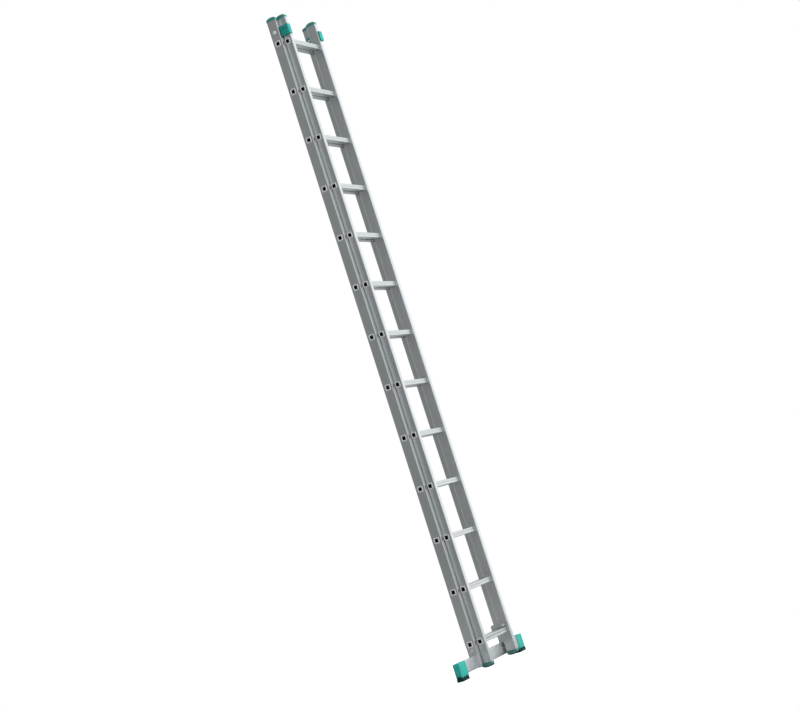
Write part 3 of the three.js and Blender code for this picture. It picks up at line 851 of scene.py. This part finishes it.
# %% Arched heads
def arched_slab(low, high, edge, upwards=True):
    """A slab with a flat face and an arched one, half an ellipse on a straight edge."""
    half_depth = (high.y - low.y) / 2
    rise = (high.z - low.z) - edge
    y = (low.y + high.y) / 2
    way = 1 if upwards else -1
    flat = low.z if upwards else high.z
    spring = flat + way * edge
    slab = add_rod(half_depth, (low.x, y, spring), (high.x, y, spring), sides=120)
    only(slab)
    bpy.ops.object.mode_set(mode="EDIT")
    bpy.ops.mesh.select_all(action="SELECT")
    bpy.ops.transform.resize(value=(1, 1, rise / half_depth), center_override=(0, y, spring))
    bpy.ops.mesh.bisect(plane_co=(0, 0, spring), plane_no=(0, 0, way),
                        use_fill=True, clear_inner=True)
    done_editing()
    pick_faces(slab, lambda centre, normal: -way * normal.z > 0.99)
    bpy.ops.mesh.extrude_region_move(TRANSFORM_OT_translate={"value": (0, 0, flat - spring)})
    done_editing()
    face_outwards(slab)
    return slab


# %% [markdown]
# Four caps close the tops of the stiles. Each plug is a little smaller than the tube it fills.

# %% Top caps
CAP_EDGE = 9 * MM
PLUG_GAP = 0.3 * MM
PLUG_CORNER = 1.5 * MM
PLUG_SINK = 0.5 * MM         # of the plug into its head


def stile_plug(section, bottom, top):
    """What fills the end of a section's left stile, between two heights."""
    low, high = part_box(f"{section}_stile_left")
    inset = STILE_WALL + PLUG_GAP
    return rounded_rod((low.x + inset + RECESS_DEPTH, low.y + inset, bottom),
                       (high.x - inset - RECESS_DEPTH, high.y - inset, top), 2, PLUG_CORNER)


def model_top_cap(section):
    low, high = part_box(f"{section}_top_cap_left")
    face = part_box(f"{section}_stile_left")[1].z + PLUG_GAP
    cap = arched_slab(Vector((low.x, low.y, face)), high, CAP_EDGE)
    soften(cap, 0.9 * MM, segments=3, angle=50)
    combine(cap, stile_plug(section, low.z, face + PLUG_SINK), "UNION")
    return cap


for section in ("base", "fly"):
    left_cap = model_top_cap(section)
    left_cap.data.materials.append(cap_plastic)
    stands_for_pair(left_cap, f"{section}_top_cap")
print("four top caps")

# %% [markdown]
# The guides keep the sliding section against the fixed one. Each is a thick plastic wall beside
# the sliding stile, with a lip over its front, a thin web behind and a boss that is bolted to
# the fixed stile. Raised ribs across the wall stiffen it.

# %% Guides
GUIDE_CLEARANCE = 2.8 * MM
GUIDE_WALL = 14 * MM
GUIDE_LIP = 7 * MM
GUIDE_LIP_REACH = 18 * MM
GUIDE_BOSS = 12 * MM
GUIDE_CORNER = 3 * MM
BOSS_GAP = 2.5 * MM          # behind the sliding stile
BOSS_INSET = 4 * MM
BOSS_CORNER = 6 * MM
WEB_LAP = 2 * MM
RIB_PROUD = 3 * MM
RIB_HALF_HEIGHT = 6 * MM
RIB_PLACES = (0.36, 0.68)    # of the guide's height
RIB_FRONT_INSET = 3 * MM
RIB_REAR_INSET = 1.5 * MM


def model_guide():
    """The right-hand guide, made from the boxes of the stiles that it joins."""
    low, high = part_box("guide_bracket_right")
    fly_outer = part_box("fly_stile_right")[1].x
    fly_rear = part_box("fly_stile_right")[1].y
    base_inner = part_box("base_stile_right")[0].x - HOLE_GAP
    base_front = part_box("base_stile_right")[0].y - HOLE_GAP
    run = fly_outer + GUIDE_CLEARANCE
    wall_out = fly_outer + GUIDE_WALL
    guide = rounded_rod((fly_outer - GUIDE_LIP_REACH, low.y, low.z),
                        (wall_out, base_front, high.z), 2, GUIDE_CORNER)
    slot = add_block((fly_outer - 2 * GUIDE_LIP_REACH, low.y + GUIDE_LIP, low.z - PAST),
                     (run, base_front + PAST, high.z + PAST))
    combine(guide, slot, "DIFFERENCE")
    web = add_block((run, base_front - WEB_LAP, low.z), (base_inner, high.y, high.z))
    combine(guide, web, "UNION")
    boss = rounded_rod((base_inner - GUIDE_BOSS, fly_rear + BOSS_GAP, low.z + BOSS_INSET),
                       (base_inner, high.y, high.z - BOSS_INSET), 0, BOSS_CORNER)
    combine(guide, boss, "UNION")
    height = high.z - low.z
    for share in RIB_PLACES:
        middle = low.z + height * share
        rib = add_block((wall_out - PAST, low.y + RIB_FRONT_INSET, middle - RIB_HALF_HEIGHT),
                        (wall_out + RIB_PROUD, base_front - RIB_REAR_INSET,
                         middle + RIB_HALF_HEIGHT))
        combine(guide, rib, "UNION")
    soften(guide, 0.7 * MM, segments=3, angle=40)
    return guide


right_guide = model_guide()
stands_for_pair(right_guide, "guide_bracket", modelled="right")
print("guides:", len(right_guide.data.polygons), "faces")

# %% [markdown]
# Bolts, pins and rivets are turned shapes. A domed head is a ball, squashed along its axis, cut
# in half and given a short straight edge, as a pressed head has. It is joined to its shank.

# %% Fasteners
GUIDE_BOLT = {"head_radius": 10 * MM, "head_height": 4 * MM, "shank_radius": 4 * MM}
ANCHOR_RIVET = {"head_radius": 5.5 * MM, "head_height": 2.2 * MM, "shank_radius": 2.5 * MM}
BAR_BOLT = {"head_radius": 7 * MM, "head_height": 2.2 * MM, "shank_radius": 4 * MM,
            "socket_radius": 2.9 * MM}
SHANK_SINK = 0.4 * MM        # of the shank into its head
SOCKET_SHARE = 0.6           # of the head's height
TOUCHING = 0.02 * MM
NUT_RADIUS = 7 * MM
NUT_HEIGHT = 3 * MM
THREAD_PROUD = 0.8 * MM


def squashed_dome(centre, axis, radius, height, outwards):
    """Half a squashed ball on a short straight edge, with its flat face at the centre."""
    edge = height / 5
    spring = Vector(centre)
    spring[axis] += outwards * edge
    bpy.ops.object.select_all(action="DESELECT")
    turn = [(0, math.radians(90), 0), (math.radians(90), 0, 0), (0, 0, 0)][axis]
    bpy.ops.mesh.primitive_uv_sphere_add(segments=64, ring_count=40, radius=radius,
                                         location=spring, rotation=turn)
    bpy.ops.object.transform_apply(location=True, rotation=True, scale=True)
    head = bpy.context.object
    only(head)
    bpy.ops.object.mode_set(mode="EDIT")
    bpy.ops.mesh.select_all(action="SELECT")
    squash = [1, 1, 1]
    squash[axis] = (height - edge) / radius
    bpy.ops.transform.resize(value=squash, center_override=spring)
    way = [0, 0, 0]
    way[axis] = outwards
    bpy.ops.mesh.bisect(plane_co=spring, plane_no=way, use_fill=True, clear_inner=True)
    done_editing()
    pick_faces(head, lambda middle, normal: abs(normal[axis]) > 0.99
               and abs(middle[axis] - spring[axis]) < TOUCHING)
    step = [0, 0, 0]
    step[axis] = centre[axis] - spring[axis]
    bpy.ops.mesh.extrude_region_move(TRANSFORM_OT_translate={"value": step})
    done_editing()
    face_outwards(head)
    return head


def domed_fastener(node, axis, outwards, head_radius, head_height, shank_radius, socket_radius=0.0):
    """A headed fastener that fills a node's box along an axis. Its head is at the outwards end."""
    low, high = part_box(node)
    middle = (low + high) / 2
    tip, head_top = Vector(middle), Vector(middle)
    tip[axis], head_top[axis] = (low[axis], high[axis]) if outwards > 0 else (high[axis], low[axis])
    under_head = Vector(head_top)
    under_head[axis] -= outwards * head_height
    head = squashed_dome(under_head, axis, head_radius, head_height, outwards)
    inside_head = Vector(under_head)
    inside_head[axis] += outwards * SHANK_SINK
    combine(head, add_rod(shank_radius, tip, inside_head), "UNION")
    if socket_radius:
        deep, above = Vector(head_top), Vector(head_top)
        deep[axis] -= outwards * head_height * SOCKET_SHARE
        above[axis] += outwards * PAST
        combine(head, add_rod(socket_radius, deep, above, sides=6), "DIFFERENCE")
    return head


def add_nut(bolt, node, side):
    """Joins a hexagonal nut to the inner end of a bolt that lies along X."""
    low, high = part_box(node)
    _, y, z = middle_of(node)
    tip = low.x if side > 0 else high.x
    nut = add_rod(NUT_RADIUS, (tip + side * THREAD_PROUD, y, z),
                  (tip + side * NUT_HEIGHT, y, z), sides=6)
    soften(nut, 0.4 * MM, segments=2, angle=50)
    combine(bolt, nut, "UNION")


for side_name, side in SIDES.items():
    bolt = domed_fastener(f"guide_bolt_{side_name}", 0, side, **GUIDE_BOLT)
    add_nut(bolt, f"guide_bolt_{side_name}", side)
    stands_for(bolt, f"guide_bolt_{side_name}")
    rivet = domed_fastener(f"anchor_rivet_{side_name}", 0, side, **ANCHOR_RIVET)
    stands_for(rivet, f"anchor_rivet_{side_name}")
    bar_bolt = domed_fastener(f"stabilizer_bolt_{side_name}", 1, 1, **BAR_BOLT)
    stands_for(bar_bolt, f"stabilizer_bolt_{side_name}")
print("bolts and rivets")

# %% [markdown]
# The stabilizer bar is a rectangular tube that widens the ladder's stance. Two shallow grooves
# run along its front and rear faces, as on most extruded tubes of this kind.

# %% Stabilizer bar
BAR_CORNER = 3 * MM
BAR_WALL = 2 * MM
BAR_GROOVES = [place * MM for place in (-19, 19)]
BAR_GROOVE_HALF = 1.5 * MM
BAR_GROOVE_DEPTH = 0.7 * MM
bar_low, bar_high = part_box("stabilizer_bar")
bar_z = (bar_low.z + bar_high.z) / 2
bar = rounded_rod(bar_low, bar_high, 0, BAR_CORNER, segments=6)
slice_at(bar, 2, [bar_z + place + side * BAR_GROOVE_HALF
                  for place in BAR_GROOVES for side in (-1, 1)])
push_in(bar, lambda centre, normal: abs(normal.y) > 0.99
        and any(abs(centre.z - bar_z - place) < BAR_GROOVE_HALF for place in BAR_GROOVES),
        BAR_GROOVE_DEPTH)
open_tube(bar, 0, BAR_WALL)
for side_name in SIDES:
    x, _, z = middle_of(f"stabilizer_bolt_{side_name}")
    drill = add_rod(BOLT_HOLE, (x, bar_low.y - PAST, z), (x, bar_high.y + PAST, z), sides=32)
    combine(bar, drill, "DIFFERENCE")
stands_for(bar, "stabilizer_bar")
print("bar:", len(bar.data.polygons), "faces")

# %% [markdown]
# A moulded cap closes each end of the bar and stands on a rubber sole. The cap is a rounded box
# with a pocket for the bar and a thicker collar round its mouth. The sole has a rounded tongue
# that rises on each end of the cap, which keys the two together.

# %% Bar caps and soles
CAP_CORNER = 4 * MM
COLLAR_WIDTH = 5 * MM
CAP_INSET = 0.9 * MM         # of the cap's sides, inside its collar
TONGUE_RADIUS = 12 * MM
TONGUE_PROUD = 1.2 * MM      # of the cap's ends, out to the frame's box
TONGUE_SINK = 0.1 * MM
TONGUE_DROP = 2 * MM
TREAD_COUNT = 7
TREAD_WIDTH = 3 * MM
TREAD_DEPTH = 3 * MM


def grow(low, high, amount, axes):
    """A box grown by an amount along some axes."""
    low, high = Vector(low), Vector(high)
    for axis in axes:
        low[axis] -= amount
        high[axis] += amount
    return low, high


def model_bar_cap():
    """The right-hand cap."""
    low, high = grow(*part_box("stabilizer_cap_right"), -TONGUE_PROUD, (0,))
    cap_low, cap_high = grow(low, high, -CAP_INSET, (1,))
    cap_high.z -= CAP_INSET
    cap = add_block(cap_low, cap_high)
    soften(cap, CAP_CORNER, segments=5)
    collar = rounded_rod(low, (low.x + COLLAR_WIDTH, high.y, high.z), 0, CAP_CORNER)
    soften(collar, 0.5 * MM, segments=2, angle=50)
    combine(cap, collar, "UNION")
    pocket_low, pocket_high = grow(bar_low, bar_high, HOLE_GAP, (1, 2))
    pocket_low.x = low.x - PAST
    pocket_high.x = bar_high.x + HOLE_GAP
    pocket = rounded_rod(pocket_low, pocket_high, 0, BAR_CORNER)
    combine(cap, pocket, "DIFFERENCE")
    return cap


def model_bar_sole():
    """The right-hand sole, with its tongues and its treads."""
    low, high = grow(*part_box("stabilizer_sole_right"), -TONGUE_PROUD, (0,))
    sole = rounded_rod(low, high, 2, CAP_CORNER)
    soften(sole, 1.2 * MM, segments=3, angle=50)
    y = (low.y + high.y) / 2
    for outer, way in ((low.x, -1), (high.x, 1)):
        face = outer + way * TONGUE_PROUD
        tongue = add_rod(TONGUE_RADIUS, (outer - way * TONGUE_SINK, y, high.z - TONGUE_DROP),
                         (face, y, high.z - TONGUE_DROP))
        soften(tongue, 0.5 * MM, segments=2, angle=50)
        combine(sole, tongue, "UNION")
    pitch = (high.x - low.x) / TREAD_COUNT
    for number in range(TREAD_COUNT - 1):
        x = low.x + pitch * (number + 1)
        groove = add_block((x - TREAD_WIDTH / 2, low.y - PAST, low.z - PAST),
                           (x + TREAD_WIDTH / 2, high.y + PAST, low.z + TREAD_DEPTH))
        combine(sole, groove, "DIFFERENCE")
    return sole


stands_for_pair(model_bar_cap(), "stabilizer_cap", modelled="right")
stands_for_pair(model_bar_sole(), "stabilizer_sole", modelled="right")
print("bar caps and soles")

# %% [markdown]
# The sliding section has feet of its own, because it can be taken off and used alone. Each is
# a plastic insert in the stile, arched below, with a thin curved sheet of rubber under the arch.
# The sheet is what is left of one arched slab when another, a little higher, is cut from it.

# %% Feet of the sliding section
FOOT_EDGE = 11 * MM
SOLE_THICKNESS = 3.6 * MM    # with the gap above it
ARCH_MARGIN = 0.5 * MM   # how much deeper the shape cut from the sole is, in front and behind
FOOT_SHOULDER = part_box("fly_stile_left")[0].z - HOLE_GAP


def model_foot():
    low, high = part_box("fly_foot_left")
    foot = arched_slab(low, Vector((high.x, high.y, FOOT_SHOULDER)), FOOT_EDGE, upwards=False)
    soften(foot, 0.8 * MM, segments=3, angle=50)
    combine(foot, stile_plug("fly", FOOT_SHOULDER - PLUG_SINK, high.z), "UNION")
    foot.data.materials.append(foot_plastic)
    return foot


def model_foot_sole():
    low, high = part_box("fly_foot_sole_left")
    sole = arched_slab(low, Vector((high.x, high.y, FOOT_SHOULDER)),
                       FOOT_EDGE + SOLE_THICKNESS, upwards=False)
    above = Vector((low.x - PAST, low.y - ARCH_MARGIN, low.z + SOLE_THICKNESS - HOLE_GAP))
    arch = arched_slab(above, Vector((high.x + PAST, high.y + ARCH_MARGIN, FOOT_SHOULDER + PAST)),
                       FOOT_EDGE + HOLE_GAP + PAST, upwards=False)
    combine(sole, arch, "DIFFERENCE")
    soften(sole, 0.4 * MM, segments=2, angle=50)
    return sole


stands_for_pair(model_foot(), "fly_foot")
stands_for_pair(model_foot_sole(), "fly_foot_sole")
print("feet")

# %% [markdown]
# The hooks are cut from plate, so a copy of the plain solid has the right outline already. Its
# loose triangles are merged into flat faces, and its edges are rounded like a deburred plate's.
# The pins, and the blocks hidden in the stile feet, are made in the same way.

# %% Hooks, pins and anchors
def deburred(node, width, segments=2, angle=30):
    """A refined copy of a frame node: merged, with its flat faces whole and its edges rounded."""
    piece = copy_of(frame["nodes"][node])
    piece.parent = None
    piece.hide_render = False
    piece.hide_viewport = False
    only(piece)
    bpy.ops.object.mode_set(mode="EDIT")
    bpy.ops.mesh.select_mode(type="VERT")
    bpy.ops.mesh.select_all(action="SELECT")
    bpy.ops.mesh.remove_doubles(threshold=0.00001)
    bpy.ops.mesh.dissolve_limited(angle_limit=math.radians(1))
    done_editing()
    soften(piece, width, segments=segments, angle=angle)
    return piece


for side_name in SIDES:
    hook, pin, anchor = (f"{stem}_{side_name}" for stem in ("rung_hook", "hook_pin", "bar_anchor"))
    stands_for(deburred(hook, 0.6 * MM), hook)
    stands_for(deburred(pin, 0.5 * MM, angle=50), pin, smooth_angle=40)
    stands_for(deburred(anchor, 0.4 * MM, angle=50), anchor)
print("hooks, pins and anchors")
